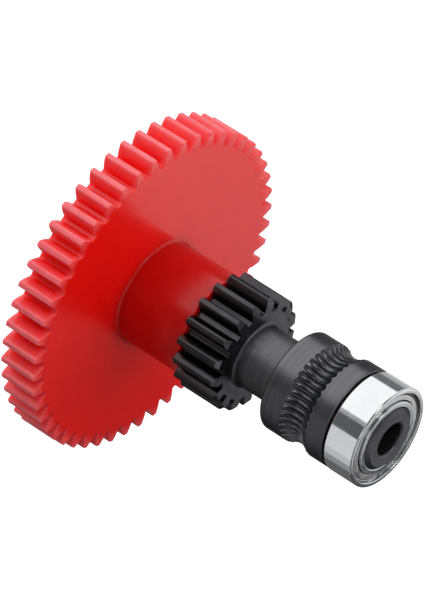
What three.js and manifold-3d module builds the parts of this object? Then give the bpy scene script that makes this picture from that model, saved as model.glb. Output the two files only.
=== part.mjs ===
// Extruder gear assembly. A moulded spur gear sits on the hexagonal seat of a one-piece steel
// shaft. The shaft also carries a pinion, a plain neck and a filament wheel with a cut, concave
// groove, and it runs in two shielded ball bearings.
// Millimetres. +Z runs up the shaft from the rear bearing to the front one, and the origin is the
// centre of the rear bearing's back face.
import * as THREE from "three";
import { mergeVertices } from "three/addons/utils/BufferGeometryUtils.js";
import Module from "manifold-3d";

const wasm = await Module();
wasm.setup();

// ---- Driving dimensions ----
const TOOTH_MODULE = 0.5;
const PRESSURE_ANGLE = THREE.MathUtils.degToRad(20);

const GEAR = {
  teeth: 50,
  tipR: 13,
  rootR: 11.87,
  width: 3.15,
  turned: THREE.MathUtils.degToRad(3), // where the first tooth points, from +X
  bossR: 4.1,
  bossLength: 5.8,
  bossFillet: 0.35,
  bossFilletMiddle: 0.105, // how far the fillet's middle is from the boss and from the disc
  bossEdge: 0.1,
};

const PINION = {
  teeth: 17,
  tipR: 4.675,
  rootR: 3.6,
  width: 3.85,
  turned: THREE.MathUtils.degToRad(0.3),
  endChamfer: 0.25, // along the axis
  endDrop: 0.38, // towards the axis
};

const SEAT = { flats: 5.2, gap: 0.1 }; // hexagonal seat of the gear on the shaft
const NECK = { r: 2.475, length: 3.75 };

const HOB = {
  r: 3.97,
  length: 5.8,
  edge: 0.15,
  grooveFromBack: 3.05, // middle of the groove
  grooveHalf: 1.1,
  grooveDepth: 0.39,
  grooveSteps: 4,
  cuts: 40,
  cutterR: 1.45, // radius of the wheel that cuts the teeth
  cutterAt: 4.775, // distance of that wheel's centre from the shaft's axis
  cutterEdge: 0.06, // half the width of its rim
  cutterHub: 0.6, // half its thickness at its centre
  cutterSides: 12,
};

const BEARING = {
  boreR: 2.5,
  outerR: 4,
  width: 2.5,
  edge: 0.12,
  innerLandR: 2.95,
  outerLandR: 3.5,
  seatR: 3.66, // recess that holds a shield and its snap ring
  seatDepth: 0.45,
  outerRaceR: 3.7, // deepest radius of the race in the outer ring
  outerRaceHalf: 0.15, // half the width of that race's floor
  outerRaceEdge: 0.36, // half the width of that race at its edges
  innerRaceR: 2.83,
  innerRaceHalf: 0.14,
  innerRaceEdge: 0.34,
  balls: 11,
  ballR: 0.4,
  ballPitchR: 3.25,
};

const BORE = { r: 1.25, sunkR: 1.6 }; // hole through the shaft, countersunk at both ends
const JOURNAL = { r: 2.47, chamfer: 0.2, rearInset: 0.05, frontStandout: 0.25 };
const SHOULDER = { rearR: 2.65, rearGap: 0.35, frontR: 2.9, frontGap: 0.25 };
const TOUCH_GAP = 0.03; // left between faces that touch

// A shield: a raised flat at the middle and a sunk flange at the edge. Heights in the bearing.
const SHIELD = {
  innerR: 3.03,
  flatR: 3.32, // outer edge of the raised flat
  flangeR: 3.42, // inner edge of the sunk flange
  outerR: 3.63,
  thickness: 0.12,
  webShift: 0.04, // keeps the sloping web as thick as the rest
  flatZ: 2.22,
  flangeZ: 2.07,
};

// The open ring of flat wire that holds a shield in.
const SNAP_RING = {
  innerR: 3.49,
  outerR: 3.6,
  z: 2.21,
  thickness: 0.15,
  gapAt: THREE.MathUtils.degToRad(36), // the middle of its gap, from +X
  gap: THREE.MathUtils.degToRad(24),
  steps: 20,
};

// A crown cage: a ring with a pocket for each ball. below and above are from the balls' middle.
const CAGE = { innerR: 3.06, outerR: 3.44, below: 0.15, above: 0.62, sidesPerBall: 3 };
const POCKET = { r: 0.46, sides: 8, length: 1 };

const ROUND = 32; // sides of a turned shape
const BALL_DETAIL = 1;
const HEXAGON = 6;
const OVERRUN = 1; // how far a cutting tool runs past the face that it cuts
const MERGE_DISTANCE = 1e-4;

// ---- Stations along the shaft ----
const REAR_BEARING_Z = 0;
const GEAR_BACK_Z = REAR_BEARING_Z + BEARING.width + SHOULDER.rearGap;
const GEAR_FRONT_Z = GEAR_BACK_Z + GEAR.width;
const BOSS_FRONT_Z = GEAR_FRONT_Z + GEAR.bossLength;
const PINION_FRONT_Z = BOSS_FRONT_Z + PINION.width;
const HOB_BACK_Z = PINION_FRONT_Z + NECK.length;
const HOB_FRONT_Z = HOB_BACK_Z + HOB.length;
const FRONT_BEARING_Z = HOB_FRONT_Z + SHOULDER.frontGap;
const SHAFT_REAR_Z = REAR_BEARING_Z + JOURNAL.rearInset;
const SHAFT_FRONT_Z = FRONT_BEARING_Z + BEARING.width + JOURNAL.frontStandout;
const GROOVE_Z = HOB_BACK_Z + HOB.grooveFromBack;

// ---- Materials ----
const redAcetal = new THREE.MeshStandardMaterial({ color: 0xc8201f, roughness: 0.32, metalness: 0 });
const blackSteel = new THREE.MeshStandardMaterial({ color: 0x2c2d30, roughness: 0.42, metalness: 0.85 });
const ringSteel = new THREE.MeshStandardMaterial({ color: 0xcfd0d4, roughness: 0.16, metalness: 1 });
const shieldSteel = new THREE.MeshStandardMaterial({ color: 0xb4b5b8, roughness: 0.3, metalness: 1 });
const wireSteel = new THREE.MeshStandardMaterial({ color: 0x85868a, roughness: 0.3, metalness: 1 });
const cageSteel = new THREE.MeshStandardMaterial({ color: 0xa8a294, roughness: 0.4, metalness: 1 });

// ---- Solids ----
// A closed geometry as a solid that can be joined and cut.
function solid(geometry) {
  const bare = geometry.clone();
  bare.deleteAttribute("normal");
  bare.deleteAttribute("uv");
  const merged = mergeVertices(bare, MERGE_DISTANCE);
  const vertProperties = new Float32Array(merged.attributes.position.array);
  const triVerts = new Uint32Array(merged.index.array);
  return new wasm.Manifold(new wasm.Mesh({ numProp: 3, vertProperties, triVerts }));
}

function geometryOf(solidPart) {
  const { vertProperties, triVerts } = solidPart.getMesh();
  const geometry = new THREE.BufferGeometry();
  geometry.setAttribute("position", new THREE.BufferAttribute(vertProperties, 3));
  geometry.setIndex(new THREE.BufferAttribute(triVerts, 1));
  geometry.computeVertexNormals();
  return geometry;
}

// A turned shape from [radius, height] points, given anticlockwise with the axis on the left.
function turned(points, sides = ROUND) {
  const profile = points.map(([r, z]) => new THREE.Vector2(r, z));
  return new THREE.LatheGeometry(profile, sides).rotateX(Math.PI / 2);
}

// A turned ring: the profile closes on itself.
function turnedRing(points, sides = ROUND) {
  return turned([...points, points[0]], sides);
}

// The same profile on the other side of the plane at middleZ.
function mirrored(points, middleZ) {
  return points.map(([r, z]) => [r, 2 * middleZ - z]).reverse();
}

// ---- Gear teeth ----
function involute(angle) {
  return Math.tan(angle) - angle;
}

// Half the angle that a tooth spans at radius r. Below the base circle the flank is radial.
function toothHalfAngle(teeth, r) {
  const pitchR = (TOOTH_MODULE * teeth) / 2;
  const baseR = pitchR * Math.cos(PRESSURE_ANGLE);
  const angle = Math.acos(Math.min(1, baseR / r));
  return Math.PI / (2 * teeth) + involute(PRESSURE_ANGLE) - involute(angle);
}

// The outline of a spur gear, with three points on each flank.
function toothedShape({ teeth, tipR, rootR, turned: start }) {
  const radii = [rootR, (rootR + tipR) / 2, tipR];
  const risingFlank = radii.map((r) => [r, -toothHalfAngle(teeth, r)]);
  const fallingFlank = radii.map((r) => [r, toothHalfAngle(teeth, r)]).reverse();
  const outline = [];
  for (let tooth = 0; tooth < teeth; tooth += 1) {
    const middle = start + (2 * Math.PI * tooth) / teeth;
    for (const [r, offset] of [...risingFlank, ...fallingFlank]) {
      const angle = middle + offset;
      outline.push(new THREE.Vector2(r * Math.cos(angle), r * Math.sin(angle)));
    }
  }
  return new THREE.Shape(outline);
}

function toothedDisc(gear, backZ) {
  const options = { depth: gear.width, bevelEnabled: false };
  return new THREE.ExtrudeGeometry(toothedShape(gear), options).translate(0, 0, backZ);
}

// A hexagonal bar along the shaft, from its width across flats.
function hexagonalBar(flats, fromZ, toZ) {
  const cornerR = flats / 2 / Math.cos(Math.PI / HEXAGON);
  const bar = new THREE.CylinderGeometry(cornerR, cornerR, toZ - fromZ, HEXAGON);
  return bar.rotateX(Math.PI / 2).translate(0, 0, (fromZ + toZ) / 2);
}

// ---- Drive gear ----
function driveGear() {
  const { bossR, bossFillet, bossFilletMiddle, bossEdge } = GEAR;
  const boss = turned([
    [0, GEAR_BACK_Z + OVERRUN],
    [bossR + bossFillet, GEAR_BACK_Z + OVERRUN],
    [bossR + bossFillet, GEAR_FRONT_Z],
    [bossR + bossFilletMiddle, GEAR_FRONT_Z + bossFilletMiddle],
    [bossR, GEAR_FRONT_Z + bossFillet],
    [bossR, BOSS_FRONT_Z - bossEdge],
    [bossR - bossEdge, BOSS_FRONT_Z],
    [0, BOSS_FRONT_Z],
  ]);
  const boreFlats = SEAT.flats + 2 * SEAT.gap;
  const seat = hexagonalBar(boreFlats, GEAR_BACK_Z - OVERRUN, BOSS_FRONT_Z + OVERRUN);
  return solid(toothedDisc(GEAR, GEAR_BACK_Z)).add(solid(boss)).subtract(solid(seat));
}

// ---- Drive shaft ----
// Points of the filament groove, from its back edge to its front edge.
function grooveProfile() {
  const { r, grooveHalf, grooveDepth, grooveSteps } = HOB;
  const arcR = (grooveHalf ** 2 + grooveDepth ** 2) / (2 * grooveDepth);
  const spread = Math.asin(grooveHalf / arcR);
  const points = [];
  for (let step = 0; step <= grooveSteps; step += 1) {
    const angle = spread * ((2 * step) / grooveSteps - 1);
    points.push([r - grooveDepth + arcR * (1 - Math.cos(angle)), GROOVE_Z + arcR * Math.sin(angle)]);
  }
  return points;
}

// The turned blank: journals, shoulders, core, neck and filament wheel. It has one side for each
// gap that is cut in the filament wheel, so that every gap starts in the middle of a side.
function shaftBlank() {
  const { r, chamfer } = JOURNAL;
  const blank = turned([
    [0, SHAFT_REAR_Z],
    [r - chamfer, SHAFT_REAR_Z],
    [r, SHAFT_REAR_Z + chamfer],
    [r, REAR_BEARING_Z + BEARING.width + TOUCH_GAP],
    [SHOULDER.rearR, REAR_BEARING_Z + BEARING.width + TOUCH_GAP],
    [SHOULDER.rearR, GEAR_BACK_Z],
    [NECK.r, GEAR_BACK_Z],
    [NECK.r, HOB_BACK_Z],
    [HOB.r - HOB.edge, HOB_BACK_Z],
    [HOB.r, HOB_BACK_Z + HOB.edge],
    ...grooveProfile(),
    [HOB.r, HOB_FRONT_Z - HOB.edge],
    [HOB.r - HOB.edge, HOB_FRONT_Z],
    [SHOULDER.frontR, HOB_FRONT_Z],
    [SHOULDER.frontR, FRONT_BEARING_Z - TOUCH_GAP],
    [r, FRONT_BEARING_Z - TOUCH_GAP],
    [r, SHAFT_FRONT_Z - chamfer],
    [r - chamfer, SHAFT_FRONT_Z],
    [0, SHAFT_FRONT_Z],
  ], HOB.cuts);
  return blank.rotateZ(Math.PI / HOB.cuts);
}

// The pinion's teeth. A cone with one flat side for each tooth slopes their front ends.
function pinion() {
  const { teeth, tipR, width, turned: start, endChamfer, endDrop } = PINION;
  const backZ = BOSS_FRONT_Z + TOUCH_GAP;
  const slope = endChamfer / endDrop;
  const overCorner = 1 / Math.cos(Math.PI / teeth);
  const cone = turned([
    [0, backZ - OVERRUN],
    [(tipR + OVERRUN) * overCorner, backZ - OVERRUN],
    [(tipR + OVERRUN) * overCorner, PINION_FRONT_Z - slope * (endDrop + OVERRUN)],
    [(tipR - endDrop - OVERRUN) * overCorner, PINION_FRONT_Z + slope * OVERRUN],
    [0, PINION_FRONT_Z + slope * OVERRUN],
  ], teeth);
  cone.rotateZ(start + Math.PI / 2 + Math.PI / teeth);
  const disc = toothedDisc({ ...PINION, width: width - TOUCH_GAP }, backZ);
  return solid(disc).intersect(solid(cone));
}

// One disc-shaped cutter for each gap between the filament wheel's teeth.
function hobCutters() {
  const { cuts, cutterR, cutterAt, cutterEdge, cutterHub, cutterSides } = HOB;
  const wheel = turned([
    [0, -cutterHub],
    [cutterR, -cutterEdge],
    [cutterR, cutterEdge],
    [0, cutterHub],
  ], cutterSides);
  wheel.rotateX(Math.PI / 2).translate(cutterAt, 0, GROOVE_Z);
  const cutters = [];
  for (let cut = 0; cut < cuts; cut += 1) {
    cutters.push(solid(wheel.clone().rotateZ((2 * Math.PI * cut) / cuts)));
  }
  return cutters;
}

// The hole through the shaft, with a 45 degree countersink at each end.
function boreTool() {
  const sink = BORE.sunkR - BORE.r;
  return turned([
    [0, SHAFT_REAR_Z - OVERRUN],
    [BORE.sunkR + OVERRUN, SHAFT_REAR_Z - OVERRUN],
    [BORE.r, SHAFT_REAR_Z + sink],
    [BORE.r, SHAFT_FRONT_Z - sink],
    [BORE.sunkR + OVERRUN, SHAFT_FRONT_Z + OVERRUN],
    [0, SHAFT_FRONT_Z + OVERRUN],
  ]);
}

function driveShaft() {
  const seat = solid(hexagonalBar(SEAT.flats, GEAR_BACK_Z, BOSS_FRONT_Z + OVERRUN));
  let shaft = solid(shaftBlank()).add(seat).add(pinion());
  for (const cutter of hobCutters()) {
    shaft = shaft.subtract(cutter);
  }
  return shaft.subtract(solid(boreTool()));
}

// ---- Ball bearings ----
// Profiles are drawn with the bearing's back face at height 0.
const BEARING_MIDDLE = BEARING.width / 2;

function outerRingProfile() {
  const { outerR, width, edge, seatR, seatDepth, outerLandR } = BEARING;
  const { outerRaceR, outerRaceHalf, outerRaceEdge } = BEARING;
  const upperHalf = [
    [outerR, width - edge],
    [outerR - edge, width],
    [seatR, width],
    [seatR, width - seatDepth],
    [outerLandR, width - seatDepth],
    [outerLandR, BEARING_MIDDLE + outerRaceEdge],
    [outerRaceR, BEARING_MIDDLE + outerRaceHalf],
  ];
  return [...upperHalf, ...mirrored(upperHalf, BEARING_MIDDLE)];
}

function innerRingProfile() {
  const { boreR, innerLandR, innerRaceR, innerRaceHalf, innerRaceEdge } = BEARING;
  const lowerHalf = [
    [boreR, 0],
    [innerLandR, 0],
    [innerLandR, BEARING_MIDDLE - innerRaceEdge],
    [innerRaceR, BEARING_MIDDLE - innerRaceHalf],
  ];
  return [...lowerHalf, ...mirrored(lowerHalf, BEARING_MIDDLE)];
}

function shieldProfile() {
  const { innerR, flatR, flangeR, outerR, thickness, webShift, flatZ, flangeZ } = SHIELD;
  return [
    [innerR, flatZ],
    [flatR, flatZ],
    [flangeR, flangeZ],
    [outerR, flangeZ],
    [outerR, flangeZ + thickness],
    [flangeR + webShift, flangeZ + thickness],
    [flatR + webShift, flatZ + thickness],
    [innerR, flatZ + thickness],
  ];
}

function snapRing() {
  const { innerR, outerR, z, thickness, gapAt, gap, steps } = SNAP_RING;
  const from = gapAt + gap / 2;
  const to = gapAt - gap / 2 + 2 * Math.PI;
  const outline = new THREE.Shape();
  outline.absarc(0, 0, outerR, from, to, false);
  outline.absarc(0, 0, innerR, to, from, true);
  const options = { depth: thickness, bevelEnabled: false, curveSegments: steps };
  return new THREE.ExtrudeGeometry(outline, options).translate(0, 0, z);
}

function ballAngle(index) {
  return (2 * Math.PI * index) / BEARING.balls;
}

function ballCage() {
  const { innerR, outerR, below, above, sidesPerBall } = CAGE;
  const ring = turnedRing([
    [innerR, BEARING_MIDDLE - below],
    [outerR, BEARING_MIDDLE - below],
    [outerR, BEARING_MIDDLE + above],
    [innerR, BEARING_MIDDLE + above],
  ], sidesPerBall * BEARING.balls);
  let cage = solid(ring.rotateZ(Math.PI / 2));
  const pocket = new THREE.CylinderGeometry(POCKET.r, POCKET.r, POCKET.length, POCKET.sides);
  pocket.rotateZ(Math.PI / 2).translate(BEARING.ballPitchR, 0, BEARING_MIDDLE);
  for (let index = 0; index < BEARING.balls; index += 1) {
    cage = cage.subtract(solid(pocket.clone().rotateZ(ballAngle(index))));
  }
  return cage;
}

// ---- Assembly ----
const assembly = new THREE.Group();

function addPart(name, geometry, material, parent = assembly) {
  const mesh = new THREE.Mesh(geometry, material);
  mesh.name = name;
  parent.add(mesh);
  return mesh;
}

function addBalls(where, parent) {
  const { balls, ballR, ballPitchR } = BEARING;
  const sphere = new THREE.IcosahedronGeometry(ballR, BALL_DETAIL);
  for (let index = 0; index < balls; index += 1) {
    const number = String(index + 1).padStart(2, "0");
    const ball = addPart(`${where}_ball_${number}`, sphere, ringSteel, parent);
    const angle = ballAngle(index);
    ball.position.set(ballPitchR * Math.cos(angle), ballPitchR * Math.sin(angle), BEARING_MIDDLE);
  }
}

// A shield and its snap ring on each side. The back pair is the front pair turned over.
function addShields(where, parent) {
  for (const side of ["front", "back"]) {
    const turnedOver = new THREE.Group();
    if (side === "back") {
      turnedOver.rotation.x = Math.PI;
      turnedOver.position.z = BEARING.width;
    }
    parent.add(turnedOver);
    addPart(`${where}_shield_${side}`, turnedRing(shieldProfile()), shieldSteel, turnedOver);
    addPart(`${where}_snap_ring_${side}`, snapRing(), wireSteel, turnedOver);
  }
}

function addBearing(where, backZ) {
  const bearing = new THREE.Group();
  bearing.position.z = backZ;
  assembly.add(bearing);
  addPart(`${where}_outer_ring`, turnedRing(outerRingProfile()), ringSteel, bearing);
  addPart(`${where}_inner_ring`, turnedRing(innerRingProfile()), ringSteel, bearing);
  addPart(`${where}_ball_cage`, geometryOf(ballCage()), cageSteel, bearing);
  addShields(where, bearing);
  addBalls(where, bearing);
}

addPart("drive_gear", geometryOf(driveGear()), redAcetal);
addPart("drive_shaft", geometryOf(driveShaft()), blackSteel);
addBearing("rear", REAR_BEARING_Z);
addBearing("front", FRONT_BEARING_Z);

export default assembly;
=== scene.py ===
"""Looks of the extruder gear assembly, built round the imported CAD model.

Lengths are in millimetres in this script and become metres when a mesh is made. The shaft runs
along +Z and the CAD nodes say where each piece sits on it.
"""

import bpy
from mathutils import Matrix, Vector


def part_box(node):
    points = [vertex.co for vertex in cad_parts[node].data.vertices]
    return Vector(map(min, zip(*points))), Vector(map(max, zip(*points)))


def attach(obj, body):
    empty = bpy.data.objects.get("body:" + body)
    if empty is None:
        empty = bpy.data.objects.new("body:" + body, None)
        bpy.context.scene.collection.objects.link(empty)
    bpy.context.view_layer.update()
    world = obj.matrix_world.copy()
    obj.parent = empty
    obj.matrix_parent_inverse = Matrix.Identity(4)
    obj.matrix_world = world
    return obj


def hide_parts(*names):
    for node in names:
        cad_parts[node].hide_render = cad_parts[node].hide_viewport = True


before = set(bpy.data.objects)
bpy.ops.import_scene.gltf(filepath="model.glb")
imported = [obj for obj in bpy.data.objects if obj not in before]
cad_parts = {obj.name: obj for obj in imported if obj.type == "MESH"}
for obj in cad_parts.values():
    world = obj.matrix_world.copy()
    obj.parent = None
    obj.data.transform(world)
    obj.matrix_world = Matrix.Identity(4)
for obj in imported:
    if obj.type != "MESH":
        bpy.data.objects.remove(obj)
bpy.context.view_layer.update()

import math

import bmesh
import bpy
import numpy as np
from mathutils import Quaternion, Vector

MM = 0.001
TURN = 2 * math.pi


def node_span(node):
    """The height of a CAD node's lowest and highest point, in millimetres."""
    low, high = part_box(node)
    return low.z / MM, high.z / MM


# ---------------------------------------------------------------- sizes, in millimetres
SHAFT_REAR, SHAFT_FRONT = node_span("drive_shaft")
GEAR_BACK, BOSS_FRONT = node_span("drive_gear")
REAR_BEARING, REAR_BEARING_END = node_span("rear_outer_ring")
FRONT_BEARING, FRONT_BEARING_END = node_span("front_outer_ring")
TOUCH_GAP = 0.03
FLAT_HOLD = 0.015  # how close to a rounded edge the flat beside it begins to be shaded flat

TOOTH_MODULE = 0.5
PRESSURE_ANGLE = math.radians(20)

GEAR_TEETH = 50
GEAR_TIP_R = 13.0
GEAR_ROOT_R = 11.87
GEAR_WIDTH = 3.15
GEAR_TURNED = math.radians(3.0)
GEAR_FRONT = GEAR_BACK + GEAR_WIDTH
BOSS_R = 4.1
BOSS_FILLET = 0.2
SEAT_FLATS = 5.2
SEAT_GAP = 0.1

PINION_TEETH = 17
PINION_TIP_R = 4.675
PINION_ROOT_R = 3.6
PINION_TURNED = math.radians(0.3)
PINION_BACK = BOSS_FRONT + TOUCH_GAP
PINION_FRONT = BOSS_FRONT + 3.85
PINION_CHAMFER = 0.25
PINION_DROP = 0.38

NECK_R = 2.475
HOB_R = 3.97
HOB_BACK = PINION_FRONT + 3.75
HOB_FRONT = HOB_BACK + 5.8
HOB_EDGE = 0.15
HOB_TEETH = 40
HOB_TURNED = math.radians(0.3)
GROOVE_MIDDLE = HOB_BACK + 3.05
GROOVE_HALF = 1.1
GROOVE_DEPTH = 0.39
CUTTER_R = 1.38
CUTTER_AT = 4.64
CUTTER_RIM_R = 0.235
SCOOP_EASE = 0.014  # how far the edge of a scoop is eased
SCOOP_LEAST = 0.02
LAND_POINTS = 2  # points from a scoop's rim to the middle of the land beside it
GROOVE_RINGS = 64

BORE_R = 1.28
BORE_ROUND = 0.22
JOURNAL_R = 2.47
JOURNAL_CHAMFER = 0.3
REAR_SHOULDER_R = 2.65
FRONT_SHOULDER_R = 2.9

SHAFT_POINTS = 680  # points in each ring of the shaft: a multiple of both tooth counts
GEAR_POINTS_PER_TOOTH = 24


# ---------------------------------------------------------------- outlines and rings
def rounded(corners, closed=False, steps=5, hold=0.0):
    """A path through [x, y, radius] corners, with an arc of that radius at each corner.

    With hold, a point stands that far off both ends of each arc, which keeps the flats beside it flat
    when the skin is shaded smooth.
    """
    path = []
    count = len(corners)
    for i, (x, y, radius) in enumerate(corners):
        here = np.array((x, y), float)
        inside = closed or 0 < i < count - 1
        if radius <= 0 or not inside:
            path.append(here)
            continue
        before = np.array(corners[i - 1][:2], float) - here
        after = np.array(corners[(i + 1) % count][:2], float) - here
        reach_before, reach_after = np.linalg.norm(before), np.linalg.norm(after)
        before, after = before / reach_before, after / reach_after
        half = math.acos(max(-1.0, min(1.0, float(before @ after)))) / 2
        if half > math.radians(89):
            path.append(here)
            continue
        tangent = min(radius / math.tan(half), 0.49 * reach_before, 0.49 * reach_after)
        arc_r = tangent * math.tan(half)
        inwards = (before + after) / np.linalg.norm(before + after)
        centre = here + inwards * arc_r / math.sin(half)
        start = here + before * tangent - centre
        end = here + after * tangent - centre
        sweep = math.atan2(start[0] * end[1] - start[1] * end[0], float(start @ end))
        if hold and tangent + hold < 0.49 * reach_before:
            path.append(here + before * (tangent + hold))
        for step in range(steps + 1):
            angle = sweep * step / steps
            turn = np.array(((math.cos(angle), -math.sin(angle)), (math.sin(angle), math.cos(angle))))
            path.append(centre + turn @ start)
        if hold and tangent + hold < 0.49 * reach_after:
            path.append(here + after * (tangent + hold))
    return path


def profile(corners, closed=False, steps=5):
    """A rounded path for a turned surface."""
    return rounded(corners, closed, steps, hold=FLAT_HOLD)


def circle_ring(r, z, count):
    """A ring of points round the shaft's axis."""
    angles = np.arange(count) * TURN / count
    return np.column_stack((r * np.cos(angles), r * np.sin(angles), np.full(count, float(z))))


def turned_rings(path, count):
    return [circle_ring(r, z, count) for r, z in path]


def hexagon_ring(flats, z, angles):
    """A ring on a hexagonal bar, with its points at the given angles."""
    side = TURN / 6
    folded = np.mod(angles, side) - side / 2
    r = flats / 2 / np.cos(folded)
    return np.column_stack((r * np.cos(angles), r * np.sin(angles), np.full(len(angles), float(z))))


def involute(angle):
    return math.tan(angle) - angle


def tooth_half_angle(teeth, r):
    """Half the angle that a tooth spans at radius r. Below the base circle the flank is radial."""
    pitch_r = TOOTH_MODULE * teeth / 2
    base_r = pitch_r * math.cos(PRESSURE_ANGLE)
    angle = math.acos(min(1.0, base_r / r))
    return math.pi / (2 * teeth) + involute(PRESSURE_ANGLE) - involute(angle)


def tooth_outline(teeth, tip_r, root_r, turned, root_round, tip_round, root_steps, tip_steps, flank_points):
    """The outline of a spur gear as a ring of [x, y] points, with rounded roots and tips."""
    flank = np.linspace(root_r + 2.2 * root_round, tip_r - 2.2 * tip_round, flank_points)
    rising = [(root_r, -1, root_round), *[(r, -1, 0.0) for r in flank], (tip_r, -1, tip_round)]
    falling = [(r, 1, fillet) for r, _, fillet in reversed(rising)]
    around_tooth = [(r, side * tooth_half_angle(teeth, r), fillet) for r, side, fillet in rising]
    around_tooth += [(tip_r, 0.0, 0.0)]
    around_tooth += [(r, side * tooth_half_angle(teeth, r), fillet) for r, side, fillet in falling]
    around_tooth += [(root_r, math.pi / teeth, 0.0)]
    corners = []
    for tooth in range(teeth):
        middle = turned + TURN * tooth / teeth
        for r, angle, fillet in around_tooth:
            corners.append((r * math.cos(middle + angle), r * math.sin(middle + angle), fillet))
    steps = {root_round: root_steps, tip_round: tip_steps}
    path = []
    count = len(corners)
    for i, corner in enumerate(corners):
        if corner[2] <= 0:
            path.append(np.array(corner[:2]))
            continue
        around = [corners[i - 1], corner, corners[(i + 1) % count]]
        path.extend(rounded(around, steps=steps[corner[2]])[1:-1])
    first_tip = len(path) // teeth // 2 - 1
    return np.roll(np.array(path), -first_tip, axis=0)


def inset(outline, distance):
    """The outline moved inwards, for the rounding of its edge."""
    ahead = np.roll(outline, -1, axis=0) - outline
    behind = outline - np.roll(outline, 1, axis=0)
    along = ahead / np.linalg.norm(ahead, axis=1)[:, None] + behind / np.linalg.norm(behind, axis=1)[:, None]
    along /= np.linalg.norm(along, axis=1)[:, None]
    inwards = np.column_stack((-along[:, 1], along[:, 0]))
    return outline + inwards * distance


def lifted(outline, z):
    heights = np.broadcast_to(np.asarray(z, float), (len(outline),))
    return np.column_stack((outline, heights))


def edge_rings(outline, z, rounding, upwards, steps=4):
    """Rings that round the outline's edge, ending at height z if upwards, or starting there."""
    rings = [lifted(outline, z - rounding - FLAT_HOLD)]
    for step in range(steps + 1):
        angle = math.pi / 2 * step / steps
        drop = rounding * (1 - math.cos(angle))
        rings.append(lifted(inset(outline, drop), z - rounding * (1 - math.sin(angle))))
    rings.append(lifted(inset(outline, rounding + FLAT_HOLD), z))
    if upwards:
        return rings
    return [ring * (1, 1, -1) + (0, 0, 2 * z) for ring in reversed(rings)]


# ---------------------------------------------------------------- pieces
def finish_mesh(name, vertices, faces, material, crease=32):
    mesh = bpy.data.meshes.new(name)
    mesh.from_pydata((np.asarray(vertices) * MM).tolist(), [], faces)
    shape = bmesh.new()
    shape.from_mesh(mesh)
    bmesh.ops.remove_doubles(shape, verts=shape.verts, dist=0.0004 * MM)
    bmesh.ops.recalc_face_normals(shape, faces=shape.faces)
    shape.to_mesh(mesh)
    shape.free()
    mesh.shade_smooth()
    mesh.set_sharp_from_angle(angle=math.radians(crease))
    mesh.materials.append(material)
    piece = bpy.data.objects.new(name, mesh)
    bpy.context.scene.collection.objects.link(piece)
    return piece


def loft(name, rings, material, crease=32):
    """A closed ring-shaped skin: each ring of points joins the next, and the last the first."""
    count = len(rings[0])
    assert all(len(ring) == count for ring in rings), [len(ring) for ring in rings]
    vertices = np.concatenate(rings)
    faces = []
    for k in range(len(rings)):
        low, high = k * count, ((k + 1) % len(rings)) * count
        for i in range(count):
            j = (i + 1) % count
            faces.append((low + i, low + j, high + j, high + i))
    return finish_mesh(name, vertices, faces, material, crease)


def stand_for(piece, node, body):
    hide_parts(node)
    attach(piece, body)


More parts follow.
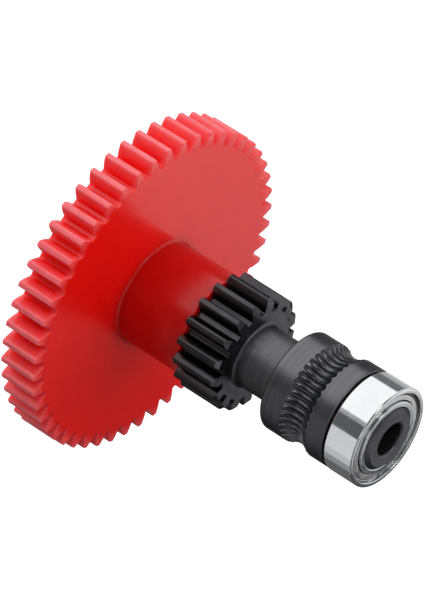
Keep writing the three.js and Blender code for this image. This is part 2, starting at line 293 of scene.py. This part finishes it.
# ---------------------------------------------------------------- materials
class Nodes:
    """Shorthand for building a material's node tree."""

    def __init__(self, name):
        self.material = bpy.data.materials.new(name)
        self.material.use_nodes = True
        self.tree = self.material.node_tree
        self.shader = self.tree.nodes["Principled BSDF"]

    def add(self, kind, **settings):
        node = self.tree.nodes.new(kind)
        for key, value in settings.items():
            setattr(node, key, value)
        return node

    def link(self, source, target):
        self.tree.links.new(source, target)

    def set(self, **values):
        for key, value in values.items():
            self.shader.inputs[key.replace("_", " ")].default_value = value

    def math(self, operation, first, second=0.0):
        node = self.add("ShaderNodeMath", operation=operation)
        for socket, value in zip(node.inputs, (first, second)):
            if isinstance(value, (int, float)):
                socket.default_value = value
            else:
                self.link(value, socket)
        return node.outputs[0]

    def position(self):
        return self.add("ShaderNodeTexCoord").outputs["Object"]

    def noise(self, vector, scale, detail=3.0, roughness=0.5):
        node = self.add("ShaderNodeTexNoise")
        node.inputs["Scale"].default_value = scale
        node.inputs["Detail"].default_value = detail
        node.inputs["Roughness"].default_value = roughness
        self.link(vector, node.inputs["Vector"])
        return node.outputs["Fac"]

    def remap(self, value, low, high, from_low=0.3, from_high=0.7):
        node = self.add("ShaderNodeMapRange")
        for key, number in (("From Min", from_low), ("From Max", from_high), ("To Min", low), ("To Max", high)):
            node.inputs[key].default_value = number
        self.link(value, node.inputs["Value"])
        return node.outputs["Result"]

    def bump(self, height, distance, strength=1.0, normal=None):
        node = self.add("ShaderNodeBump")
        node.inputs["Strength"].default_value = strength
        node.inputs["Distance"].default_value = distance * MM
        self.link(height, node.inputs["Height"])
        if normal is not None:
            self.link(normal, node.inputs["Normal"])
        return node.outputs["Normal"]

    def mix_colour(self, fac, first, second):
        node = self.add("ShaderNodeMix", data_type="RGBA")
        node.inputs["A"].default_value = (*first, 1)
        node.inputs["B"].default_value = (*second, 1)
        self.link(fac, node.inputs["Factor"])
        return node.outputs["Result"]

    def mix(self, fac, first, second):
        node = self.add("ShaderNodeMix", data_type="RGBA")
        for socket, source in (("Factor", fac), ("A", first), ("B", second)):
            self.link(source, node.inputs[socket])
        return node.outputs["Result"]

    def split_position(self):
        split = self.add("ShaderNodeSeparateXYZ")
        self.link(self.position(), split.inputs[0])
        return split.outputs

    def axis_distance(self):
        x, y, _ = self.split_position()
        return self.math("SQRT", self.math("ADD", self.math("MULTIPLY", x, x), self.math("MULTIPLY", y, y)))

    def facing_outwards(self, at_faces=0.0):
        """1 where the surface faces away from the shaft's axis, less where it faces along it."""
        split = self.add("ShaderNodeSeparateXYZ")
        self.link(self.add("ShaderNodeTexCoord").outputs["Normal"], split.inputs[0])
        return self.remap(self.math("ABSOLUTE", split.outputs[2]), 1, at_faces, from_low=0.3, from_high=0.95)

    def back_walls_cut_and_shaded(self):
        """1 on the rougher walls of the filament groove that face back along the shaft, and on the hob's back edge;
        the colour there is darker as painted shade.
        """
        split = self.add("ShaderNodeSeparateXYZ")
        self.link(self.add("ShaderNodeTexCoord").outputs["Normal"], split.inputs[0])
        backwards = self.remap(split.outputs[2], 1, 0, from_low=-0.35, from_high=-0.10)
        height = self.split_position()[2]
        off = self.math("ABSOLUTE", self.math("SUBTRACT", height, GROOVE_MIDDLE * MM))
        near = self.remap(off, 1, 0, from_low=3.2 * MM, from_high=3.3 * MM)
        return self.math("MULTIPLY", backwards, near)

    def on_pinion_teeth(self):
        """1 on the pinion's flanks, tips and roots, which are coloured darker than the turned faces as painted shade.
        """
        height = self.remap(self.split_position()[2], 1, 0, from_low=(PINION_FRONT - 0.03) * MM,
                            from_high=PINION_FRONT * MM)
        outside = self.remap(self.axis_distance(), 0, 1, from_low=3.3 * MM, from_high=3.4 * MM)
        return self.math("MULTIPLY", self.facing_outwards(), self.math("MULTIPLY", height, outside))

    def turning_marks(self, around=0.15):
        """Coordinates that are stretched round the shaft's axis, as the marks of a lathe are."""
        x, y, z = self.split_position()
        radius = self.axis_distance()
        angle = self.math("ARCTAN2", y, x)
        joined = self.add("ShaderNodeCombineXYZ")
        self.link(radius, joined.inputs[0])
        self.link(self.math("MULTIPLY", angle, around * MM), joined.inputs[1])
        self.link(z, joined.inputs[2])
        return joined.outputs[0]


def red_acetal():
    """Injection-moulded acetal: glossy and a little translucent, with a faint skin texture. Its colour holds painted
    light: lighter on the thin web than on the boss, brighter red on the tooth flanks and pink at the tooth tips and
    ends, for light that comes through the moulding.
    """
    m = Nodes("red_acetal")
    m.set(Roughness=0.20, IOR=1.48, Subsurface_Weight=0.6, Subsurface_Scale=1.2 * MM)
    m.shader.inputs["Subsurface Radius"].default_value = (1.0, 0.12, 0.10)
    cloud = m.noise(m.position(), 900, detail=2)
    # Painted light: the thin web is coloured lighter than the boss, for the light that comes through the translucent
    # moulding.
    boss = m.mix_colour(m.remap(cloud, 0, 1), (0.56, 0.0030, 0.0022), (0.60, 0.0040, 0.0030))
    web_painted_light = m.mix_colour(m.remap(cloud, 0, 1), (0.67, 0.0036, 0.0026), (0.71, 0.0046, 0.0034))
    # Painted light: the tooth flanks are coloured brighter red, and the tooth tips and ends pink, for the light that
    # comes through the thin teeth.
    flank_painted_light = m.mix_colour(m.remap(cloud, 0, 1), (0.81, 0.006, 0.006), (0.85, 0.008, 0.008))
    tip_painted_light = m.mix_colour(m.remap(cloud, 0, 1), (0.78, 0.15, 0.17), (0.82, 0.18, 0.20))
    distance = m.axis_distance()
    body = m.mix(m.remap(distance, 0, 1, from_low=4.2 * MM, from_high=4.8 * MM), boss, web_painted_light)
    outwards = m.facing_outwards()
    on_flanks = m.math("MULTIPLY", m.remap(distance, 0, 1, from_low=11.7 * MM, from_high=12.0 * MM), outwards)
    at_tips = m.remap(distance, 0, 1, from_low=12.55 * MM, from_high=13.05 * MM)
    middle_z = (GEAR_BACK + GEAR_WIDTH / 2) * MM
    off_middle = m.math("ABSOLUTE", m.math("SUBTRACT", m.split_position()[2], middle_z))
    at_ends = m.remap(off_middle, 0, 0.6, from_low=(GEAR_WIDTH / 2 - 0.6) * MM, from_high=GEAR_WIDTH / 2 * MM)
    # Painted light: how far the flanks and faces turn pink, growing towards the tips and the ends of the teeth.
    painted_light_on_flanks = m.math("MULTIPLY", m.math("MAXIMUM", at_tips, at_ends), on_flanks)
    painted_light_on_faces = m.remap(distance, 0, 0.5, from_low=12.0 * MM, from_high=13.0 * MM)
    painted_light_amount = m.math("MAXIMUM", painted_light_on_flanks, painted_light_on_faces)
    m.link(m.mix(painted_light_amount, m.mix(on_flanks, body, flank_painted_light), tip_painted_light), m.shader.inputs["Base Color"])
    m.link(m.remap(m.noise(m.position(), 2600), 0.18, 0.23), m.shader.inputs["Roughness"])
    m.link(m.bump(m.noise(m.position(), 5000, detail=2), 0.0004), m.shader.inputs["Normal"])
    return m.material


def black_oxide():
    """Turned steel, blackened: satin, with fine marks that run round the shaft."""
    m = Nodes("black_oxide_steel")
    m.set(Metallic=1.0, Roughness=0.33)
    m.shader.inputs["Specular Tint"].default_value = (0.35, 0.35, 0.36, 1)
    marks = m.noise(m.turning_marks(), 16000, detail=5, roughness=0.65)
    broad = m.noise(m.position(), 700, detail=3)
    lines = m.noise(m.turning_marks(), 5200, detail=4, roughness=0.6)
    turned_face = m.mix_colour(m.remap(lines, 0, 1), (0.130, 0.131, 0.139), (0.180, 0.181, 0.190))
    # Painted shade: the walls that face back along the shaft near the groove, the hob's back edge among them, are
    # coloured darker for the shade that falls there.
    back_wall_painted_shade = m.mix_colour(m.remap(broad, 0, 1), (0.045, 0.058, 0.062), (0.060, 0.074, 0.078))
    # Painted shade: the pinion's flanks, tips and roots are coloured darker than the turned faces.
    tooth_painted_shade = m.mix_colour(m.remap(broad, 0, 1), (0.066, 0.067, 0.071), (0.084, 0.085, 0.090))
    cut_and_painted_shade = m.back_walls_cut_and_shaded()
    colour = m.mix(m.on_pinion_teeth(), m.mix(cut_and_painted_shade, turned_face, back_wall_painted_shade), tooth_painted_shade)
    m.link(colour, m.shader.inputs["Base Color"])
    satin = m.remap(marks, 0.27, 0.33)
    on_neck = m.remap(m.axis_distance(), 1, 0, from_low=2.6 * MM, from_high=2.9 * MM)
    rougher = m.math("MAXIMUM", m.math("MULTIPLY", cut_and_painted_shade, 0.22), m.math("MULTIPLY", on_neck, 0.13))
    m.link(m.math("ADD", satin, rougher), m.shader.inputs["Roughness"])
    fine = m.bump(m.noise(m.position(), 9000, detail=4, roughness=0.6), 0.0010)
    m.link(m.bump(marks, 0.0004, normal=fine), m.shader.inputs["Normal"])
    return m.material


def polished_steel(name, colour, roughness, mark_depth):
    """Ground bearing steel with the finest of grinding marks round it."""
    m = Nodes(name)
    m.set(Metallic=1.0, Roughness=roughness)
    marks = m.noise(m.turning_marks(0.4), 22000, detail=4, roughness=0.6)
    darker = tuple(0.92 * c for c in colour)
    smudge = m.noise(m.position(), 1200, detail=4)
    m.link(m.mix_colour(m.remap(smudge, 0, 1), darker, colour), m.shader.inputs["Base Color"])
    m.link(m.remap(smudge, 0.8 * roughness, 1.3 * roughness), m.shader.inputs["Roughness"])
    m.link(m.bump(marks, mark_depth), m.shader.inputs["Normal"])
    return m.material


RED = red_acetal()
BLACK = black_oxide()
RING_STEEL = polished_steel("ring_steel", (0.79, 0.80, 0.82), 0.10, 0.0002)
BALL_STEEL = polished_steel("ball_steel", (0.82, 0.82, 0.83), 0.06, 0.0001)
SHIELD_STEEL = polished_steel("shield_steel", (0.68, 0.68, 0.69), 0.15, 0.0003)
WIRE_STEEL = polished_steel("snap_ring_steel", (0.42, 0.42, 0.43), 0.26, 0.0006)
CAGE_STEEL = polished_steel("cage_steel", (0.52, 0.49, 0.42), 0.34, 0.0010)


# ---------------------------------------------------------------- drive gear
def make_gear():
    outline = tooth_outline(
        GEAR_TEETH, GEAR_TIP_R, GEAR_ROOT_R, GEAR_TURNED, 0.16, 0.07, root_steps=4, tip_steps=3, flank_points=3
    )
    count = len(outline)
    edge = 0.07
    start = math.atan2(outline[0, 1], outline[0, 0])
    angles = start + np.arange(count) * TURN / count

    def circle(r, z):
        return np.column_stack((r * np.cos(angles), r * np.sin(angles), np.full(count, float(z))))

    bore = SEAT_FLATS + 2 * SEAT_GAP
    boss = profile([
        (GEAR_ROOT_R - 0.35, GEAR_FRONT, 0),
        (BOSS_R, GEAR_FRONT, BOSS_FILLET),
        (BOSS_R, BOSS_FRONT, 0.12),
        (3.4, BOSS_FRONT, 0),
    ], steps=8)
    rings = [hexagon_ring(bore, GEAR_BACK, angles), circle(GEAR_ROOT_R - 0.35, GEAR_BACK)]
    rings += edge_rings(outline, GEAR_BACK, edge, upwards=False)
    rings += edge_rings(outline, GEAR_FRONT, edge, upwards=True)
    rings += [circle(r, z) for r, z in boss]
    rings += [hexagon_ring(bore, BOSS_FRONT, angles)]
    gear = loft("drive_gear_moulding", rings, RED)
    stand_for(gear, "drive_gear", "driven_shaft")


# ---------------------------------------------------------------- drive shaft
def pinion_rings():
    outline = tooth_outline(
        PINION_TEETH, PINION_TIP_R, PINION_ROOT_R, PINION_TURNED, 0.2, 0.16, root_steps=6, tip_steps=5, flank_points=6
    )
    radii = np.linalg.norm(outline, axis=1)
    cone_r = PINION_TIP_R - PINION_DROP
    over = np.maximum(radii - cone_r, 0)
    chamfer_z = PINION_FRONT - PINION_CHAMFER * over / PINION_DROP
    clipped = outline * (np.minimum(radii, cone_r) / radii)[:, None]
    return [
        lifted(outline, PINION_BACK),
        lifted(outline, chamfer_z),
        lifted(clipped, PINION_FRONT),
    ]


def groove_r(z):
    """Radius of the filament groove's smooth surface."""
    arc_r = (GROOVE_HALF**2 + GROOVE_DEPTH**2) / (2 * GROOVE_DEPTH)
    off = min(abs(z - GROOVE_MIDDLE), GROOVE_HALF)
    return HOB_R - GROOVE_DEPTH + arc_r - math.sqrt(arc_r**2 - off**2)


def scoop_half_width(depth):
    """Half the width of a scoop of the cutter's round rim that is this deep."""
    if depth >= CUTTER_RIM_R:
        return CUTTER_RIM_R
    return math.sqrt(CUTTER_RIM_R**2 - (CUTTER_RIM_R - depth) ** 2)


def rounded_minimum(first, second):
    """The lower of two heights, with the edge between them eased by SCOOP_EASE."""
    share = np.clip(0.5 + 0.5 * (second - first) / SCOOP_EASE, 0, 1)
    return second * (1 - share) + first * share - SCOOP_EASE * share * (1 - share)


def cut_ring(z, count):
    """A ring of the filament wheel, where a disc cutter has scooped the gaps between its teeth.

    Points lie across each scoop, on both its rims and on the land up to the next, so that the rims
    are clean curves.
    """
    smooth = groove_r(z)
    floor = CUTTER_AT - math.sqrt(CUTTER_R**2 - (z - GROOVE_MIDDLE) ** 2)
    half_pitch = math.pi * smooth / HOB_TEETH
    rim = max(scoop_half_width(max(smooth - floor, 0)), SCOOP_LEAST)
    rim = min(rim, 0.9 * half_pitch)
    per_tooth = count // HOB_TEETH
    across = (per_tooth - 1) // 2 - LAND_POINTS
    scoop = np.sin(math.pi / 2 * np.arange(across + 1) / across) * rim
    land = rim + (half_pitch - rim) * np.arange(1, LAND_POINTS + 1) / (LAND_POINTS + 0.5)
    one_side = np.concatenate((scoop, land))
    aside = np.concatenate((one_side, -one_side[:0:-1]))
    inside = np.minimum(np.abs(aside), CUTTER_RIM_R)
    wall = CUTTER_RIM_R - np.sqrt(CUTTER_RIM_R**2 - inside**2) + 4 * (np.abs(aside) - inside)
    r = np.tile(rounded_minimum(smooth, floor + wall), HOB_TEETH)
    middles = HOB_TURNED + TURN * np.arange(HOB_TEETH) / HOB_TEETH
    starts = np.where(aside < 0, TURN / HOB_TEETH, 0) + aside / smooth
    angles = (middles[:, None] + starts[None, :]).ravel()
    return np.column_stack((r * np.cos(angles), r * np.sin(angles), np.full(count, float(z))))


def hob_rings(count):
    """Rings through the groove, closest together at the ends of the scoops."""
    reach = math.sqrt(CUTTER_R**2 - (CUTTER_AT - HOB_R) ** 2) + SCOOP_EASE
    spread = np.sin(np.linspace(-math.pi / 2, math.pi / 2, GROOVE_RINGS))
    return [cut_ring(GROOVE_MIDDLE + reach * share, count) for share in spread]


def make_shaft():
    count = SHAFT_POINTS
    rear = profile([
        (BORE_R, SHAFT_REAR + 3, 0),
        (BORE_R, SHAFT_REAR, BORE_ROUND),
        (JOURNAL_R - JOURNAL_CHAMFER, SHAFT_REAR, 0.06),
        (JOURNAL_R, SHAFT_REAR + 0.2, 0.06),
        (JOURNAL_R, REAR_BEARING_END + TOUCH_GAP, 0.02),
        (REAR_SHOULDER_R, REAR_BEARING_END + TOUCH_GAP, 0.03),
        (REAR_SHOULDER_R, GEAR_BACK, 0),
    ])
    neck = profile([
        (PINION_ROOT_R - 0.3, PINION_FRONT, 0),
        (NECK_R, PINION_FRONT, 0.22),
        (NECK_R, HOB_BACK, 0.12),
        (HOB_R, HOB_BACK, HOB_EDGE),
        (HOB_R, HOB_BACK + 0.8, 0),
    ], steps=7)
    front = profile([
        (HOB_R, HOB_FRONT - 0.8, 0),
        (HOB_R, HOB_FRONT, 0.1),
        (FRONT_SHOULDER_R, HOB_FRONT, 0.03),
        (FRONT_SHOULDER_R, FRONT_BEARING - TOUCH_GAP, 0.03),
        (JOURNAL_R, FRONT_BEARING - TOUCH_GAP, 0.02),
        (JOURNAL_R, SHAFT_FRONT - 0.22, 0.05),
        (JOURNAL_R - JOURNAL_CHAMFER, SHAFT_FRONT, 0.06),
        (BORE_R, SHAFT_FRONT, BORE_ROUND),
        (BORE_R, SHAFT_FRONT - 3, 0),
    ], steps=7)
    angles = np.arange(count) * TURN / count
    rings = turned_rings(rear, count)
    rings += [hexagon_ring(SEAT_FLATS, GEAR_BACK, angles), hexagon_ring(SEAT_FLATS, PINION_BACK, angles)]
    rings += pinion_rings()
    rings += turned_rings(neck, count)
    rings += hob_rings(count)
    rings += turned_rings(front, count)
    shaft = loft("drive_shaft_machined", rings, BLACK)
    stand_for(shaft, "drive_shaft", "driven_shaft")


# ---------------------------------------------------------------- ball bearings
BEARING_POINTS = 192
BEARING_WIDTH = 2.5
MIDDLE = BEARING_WIDTH / 2
BALLS = 11
BALL_R = 0.4
BALL_PITCH_R = 3.25


def both_sides(half):
    """A profile and its mirror image in the bearing's middle plane."""
    return [*half, *[(r, BEARING_WIDTH - z, fillet) for r, z, fillet in reversed(half)]]


def race_arc(side, radius):
    """Points across a ball race, from its front edge to the middle. side is 1 outside, -1 inside."""
    arc = []
    for degrees in (52, 40, 28, 14, 0):
        angle = math.radians(degrees)
        arc.append((BALL_PITCH_R + side * radius * math.cos(angle), MIDDLE + radius * math.sin(angle), 0))
    return arc


OUTER_RING = both_sides([
    (4.0, 2.5, 0.12),
    (3.62, 2.5, 0.05),
    (3.62, 2.04, 0.02),
    (3.49, 2.04, 0.04),
    *race_arc(1, 0.435),
])
OUTER_RING[-1] = (4.0, 0.0, 0.02)
INNER_RING = both_sides([
    (2.5, 2.5, 0.07),
    (2.95, 2.5, 0.07),
    *race_arc(-1, 0.425),
])
SHIELD = [
    (3.02, 2.24, 0.03),
    (3.33, 2.24, 0.05),
    (3.40, 2.07, 0.05),
    (3.60, 2.07, 0.02),
    (3.60, 2.16, 0.02),
    (3.46, 2.16, 0.05),
    (3.39, 2.34, 0.06),
    (3.02, 2.34, 0.03),
]
WIRE_R = 0.065
WIRE_RING_R = 3.53
WIRE_Z = 2.235
WIRE_GAP_AT = math.radians(36)
WIRE_GAP = math.radians(20)


def raised(points, z):
    return [(r, height + z, fillet) for r, height, fillet in points]


def turned_over(points):
    return [(r, BEARING_WIDTH - z, fillet) for r, z, fillet in points]


def turned_piece(name, node, body, material, corners, crease=32):
    path = profile(corners, closed=True)
    piece = loft(name, turned_rings(path, BEARING_POINTS), material, crease)
    stand_for(piece, node, body)


def snap_ring(name, node, body, base_z, front):
    """A nearly closed ring of round wire with domed ends."""
    around, steps = 14, 120
    rings = []
    span = TURN - WIRE_GAP
    middle_z = base_z + (WIRE_Z if front else BEARING_WIDTH - WIRE_Z)
    dome = [(math.sin(math.pi / 2 * k / 3), 1 - math.cos(math.pi / 2 * k / 3)) for k in range(4)]
    stations = [(WIRE_R * (lift - 1), max(size, 0.02)) for size, lift in dome]
    for offset, size in stations:
        rings.append((offset / WIRE_RING_R, size))
    for step in range(1, steps):
        rings.append((span * step / steps, 1.0))
    for offset, size in reversed(stations):
        rings.append((span - offset / WIRE_RING_R, size))
    vertices = []
    for along, size in rings:
        angle = WIRE_GAP_AT + WIRE_GAP / 2 + along
        if not front:
            angle = -angle
        for k in range(around):
            turn = TURN * k / around
            r = WIRE_RING_R + WIRE_R * size * math.cos(turn)
            z = middle_z + WIRE_R * size * math.sin(turn)
            vertices.append((r * math.cos(angle), r * math.sin(angle), z))
    faces = []
    for k in range(len(rings) - 1):
        for i in range(around):
            j = (i + 1) % around
            low, high = k * around, (k + 1) * around
            faces.append((low + i, low + j, high + j, high + i))
    faces.append(tuple(reversed(range(around))))
    last = (len(rings) - 1) * around
    faces.append(tuple(range(last, last + around)))
    piece = finish_mesh(name, vertices, faces, WIRE_STEEL)
    stand_for(piece, node, body)


def make_ball(name, node, body, centre):
    """A ball as a cube blown up to a sphere, so that its faces stay even."""
    mesh = bpy.data.meshes.new(name)
    shape = bmesh.new()
    bmesh.ops.create_cube(shape, size=1)
    bmesh.ops.subdivide_edges(shape, edges=shape.edges, cuts=7, use_grid_fill=True)
    for vertex in shape.verts:
        vertex.co = (vertex.co.normalized() * BALL_R + centre) * MM
    shape.to_mesh(mesh)
    shape.free()
    mesh.shade_smooth()
    mesh.materials.append(BALL_STEEL)
    ball = bpy.data.objects.new(name, mesh)
    bpy.context.scene.collection.objects.link(ball)
    stand_for(ball, node, body)


def make_bearing(where, base_z, ring_body, ball_body):
    turned_piece(f"{where}_bearing_outer", f"{where}_outer_ring", ring_body, RING_STEEL,
                 raised(OUTER_RING, base_z))
    turned_piece(f"{where}_bearing_inner", f"{where}_inner_ring", "driven_shaft", RING_STEEL,
                 raised(INNER_RING, base_z))
    turned_piece(f"{where}_bearing_shield_front", f"{where}_shield_front", ring_body,
                 SHIELD_STEEL, raised(SHIELD, base_z))
    turned_piece(f"{where}_bearing_shield_back", f"{where}_shield_back", ring_body,
                 SHIELD_STEEL, raised(turned_over(SHIELD), base_z))
    snap_ring(f"{where}_bearing_snap_front", f"{where}_snap_ring_front", ring_body, base_z, front=True)
    snap_ring(f"{where}_bearing_snap_back", f"{where}_snap_ring_back", ring_body, base_z, front=False)
    for index in range(BALLS):
        angle = TURN * index / BALLS
        centre = Vector((BALL_PITCH_R * math.cos(angle), BALL_PITCH_R * math.sin(angle), base_z + MIDDLE))
        number = f"{index + 1:02d}"
        make_ball(f"{where}_bearing_ball_{number}", f"{where}_ball_{number}", ball_body, centre)
    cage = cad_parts[f"{where}_ball_cage"]
    cage.data.materials.clear()
    cage.data.materials.append(CAGE_STEEL)


make_gear()
make_shaft()
make_bearing("rear", REAR_BEARING, "rear_bearing_seat", "rear_ball_set")
make_bearing("front", FRONT_BEARING, "front_bearing_seat", "front_ball_set")


# ---------------------------------------------------------------- camera
AIM = Vector((-1.67, 0, 10.3)) * MM
CAMERA_DISTANCE = 0.385
CAMERA_AZIMUTH = math.radians(-89.72)
CAMERA_ELEVATION = math.radians(27.33)
CAMERA_ROLL = math.radians(122.2)
CAMERA_LENS = 321.0


def direction(azimuth, elevation):
    flat = math.cos(elevation)
    return Vector((flat * math.cos(azimuth), flat * math.sin(azimuth), math.sin(elevation)))


def make_camera():
    data = bpy.data.cameras.new("camera")
    data.lens = CAMERA_LENS
    data.sensor_width = 36
    data.clip_start = 0.01
    data.clip_end = 20
    camera = bpy.data.objects.new("camera", data)
    bpy.context.scene.collection.objects.link(camera)
    towards = direction(CAMERA_AZIMUTH, CAMERA_ELEVATION)
    camera.location = AIM + towards * CAMERA_DISTANCE
    level = (-towards).to_track_quat("-Z", "Y")
    camera.rotation_mode = "QUATERNION"
    camera.rotation_quaternion = level @ Quaternion((0, 0, 1), CAMERA_ROLL)
    bpy.context.scene.camera = camera


# ---------------------------------------------------------------- floor and light
FLOOR_DROP = 0.30
LIGHT_CENTRE = Vector((0, 0, 0.016))


def glowing(name, radiance, grey=0.0):
    """A matt surface with an even glow of its own."""
    m = Nodes(name)
    m.set(Roughness=1.0, Specular_IOR_Level=0.0, Emission_Strength=radiance)
    m.shader.inputs["Emission Color"].default_value = (1, 1, 1, 1)
    paper = m.mix_colour(m.noise(m.position(), 8), (0.98 * grey,) * 3, (grey,) * 3)
    m.link(paper, m.shader.inputs["Base Color"])
    return m.material


def make_board(name, width, height, material):
    w, h = width / 2, height / 2
    mesh = bpy.data.meshes.new(name)
    mesh.from_pydata([(-w, -h, 0), (w, -h, 0), (w, h, 0), (-w, h, 0)], [], [(0, 1, 2, 3)])
    mesh.materials.append(material)
    board = bpy.data.objects.new(name, mesh)
    bpy.context.scene.collection.objects.link(board)
    return board


def make_floor():
    floor = make_board("floor", 8, 8, glowing("floor_white", 0.70, grey=0.8))
    floor.location.z = -FLOOR_DROP


def face_object(thing, azimuth, elevation, distance, local_axis):
    towards = direction(math.radians(azimuth), math.radians(elevation))
    thing.location = LIGHT_CENTRE + towards * distance
    thing.rotation_mode = "QUATERNION"
    thing.rotation_quaternion = (towards if local_axis == "Z" else -towards).to_track_quat(local_axis, "Y")


def make_softbox(name, azimuth, elevation, distance, width, height, radiance, shiny=False):
    """A rectangular light that faces the object. radiance is how bright its face looks."""
    data = bpy.data.lights.new(name, "AREA")
    data.shape = "RECTANGLE"
    data.size = width
    data.size_y = height
    data.energy = radiance * math.pi * width * height
    light = bpy.data.objects.new(name, data)
    bpy.context.scene.collection.objects.link(light)
    face_object(light, azimuth, elevation, distance, "-Z")
    light.visible_camera = False
    light.visible_glossy = shiny


def hide_card(card, lights_object):
    card.visible_camera = False
    card.visible_diffuse = lights_object


def make_card(name, azimuth, elevation, distance, width, height, radiance, lights_object=True, roll=0):
    """A flat grey card that the polished steel reflects."""
    card = make_board(name, width, height, glowing(name, radiance))
    face_object(card, azimuth, elevation, distance, "Z")
    card.rotation_quaternion = card.rotation_quaternion @ Quaternion((0, 0, 1), math.radians(roll))
    hide_card(card, lights_object)


def make_band(name, from_azimuth, to_azimuth, low, high, radiance, distance=0.22, lights_object=True):
    """A curved card that fills a range of directions, as the sides of the bearing see it."""
    columns = math.ceil((to_azimuth - from_azimuth) / 4)
    rows = math.ceil((high - low) / 4)
    azimuths = np.radians(np.linspace(from_azimuth, to_azimuth, columns + 1))
    elevations = np.radians(np.linspace(low, high, rows + 1))
    vertices = [LIGHT_CENTRE + direction(a, e) * distance for a in azimuths for e in elevations]
    faces = []
    for column in range(columns):
        for row in range(rows):
            here = column * (rows + 1) + row
            faces.append((here, here + rows + 1, here + rows + 2, here + 1))
    mesh = bpy.data.meshes.new(name)
    mesh.from_pydata(vertices, [], faces)
    mesh.materials.append(glowing(name, radiance))
    band = bpy.data.objects.new(name, mesh)
    bpy.context.scene.collection.objects.link(band)
    hide_card(band, lights_object)


def make_world(strength):
    world = bpy.data.worlds.new("studio")
    world.use_nodes = True
    background = world.node_tree.nodes["Background"]
    background.inputs["Color"].default_value = (1, 1, 1, 1)
    background.inputs["Strength"].default_value = strength
    bpy.context.scene.world = world


make_camera()
make_floor()
make_world(0.62)
make_band("band_upper_light", 96, 122, -39, -14, 0.70)
make_band("band_upper_grey", 122, 141, -39, -14, 0.48)
make_band("band_upper_dark", 141, 168, -39, -14, 0.18)
make_band("band_near_grey", 266, 275, -43, -10, 0.42)
make_band("band_near_dark", 275, 305, -43, -10, 0.12)
make_band("strip_lower_light", 305, 354, -24.6, -19.0, 0.80, distance=0.20)
make_band("strip_lower_grey", 354, 371, -24.6, -19.0, 0.62, distance=0.20)
make_band("strip_lower_dim", 371, 388, -24.6, -19.0, 0.32, distance=0.20)
make_band("band_lower_dark", 305, 378, -49, -5, 0.05, distance=0.23)
make_band("band_far_lower_dark", 378, 440, -46, -7, 0.14, distance=0.23)
make_band("light_behind_low", 91, 150, 15, 27.5, 0.85, distance=0.13)
make_band("dark_behind", 25, 128, -10, 46, 0.07, distance=0.15)
make_band("dark_low_behind", 62, 96, -40, -10, 0.12, distance=0.15)
make_band("grey_above_behind", 25, 155, 46, 80, 0.30, distance=0.16, lights_object=False)
make_band("dark_plus_x", 300, 395, -1, 41, 0.12, distance=0.34)
make_card("light_behind", 104.3, 43, 0.134, 0.08, 0.10, 1.05, roll=48)
make_softbox("top", 190, 78, 0.34, 0.30, 0.30, 3.2)
make_softbox("under_near", 250, -58, 0.26, 0.16, 0.16, 4.0)
make_softbox("rim", 222, 45, 0.30, 0.09, 0.09, 4.5, shiny=True)
make_card("dark_ceiling", 235, 62, 0.34, 0.50, 0.36, 0.16, lights_object=False)
make_card("dark_near_wall", 240, 16, 0.36, 0.50, 0.24, 0.12, lights_object=False)

bpy.context.scene.view_settings.view_transform = "Standard"
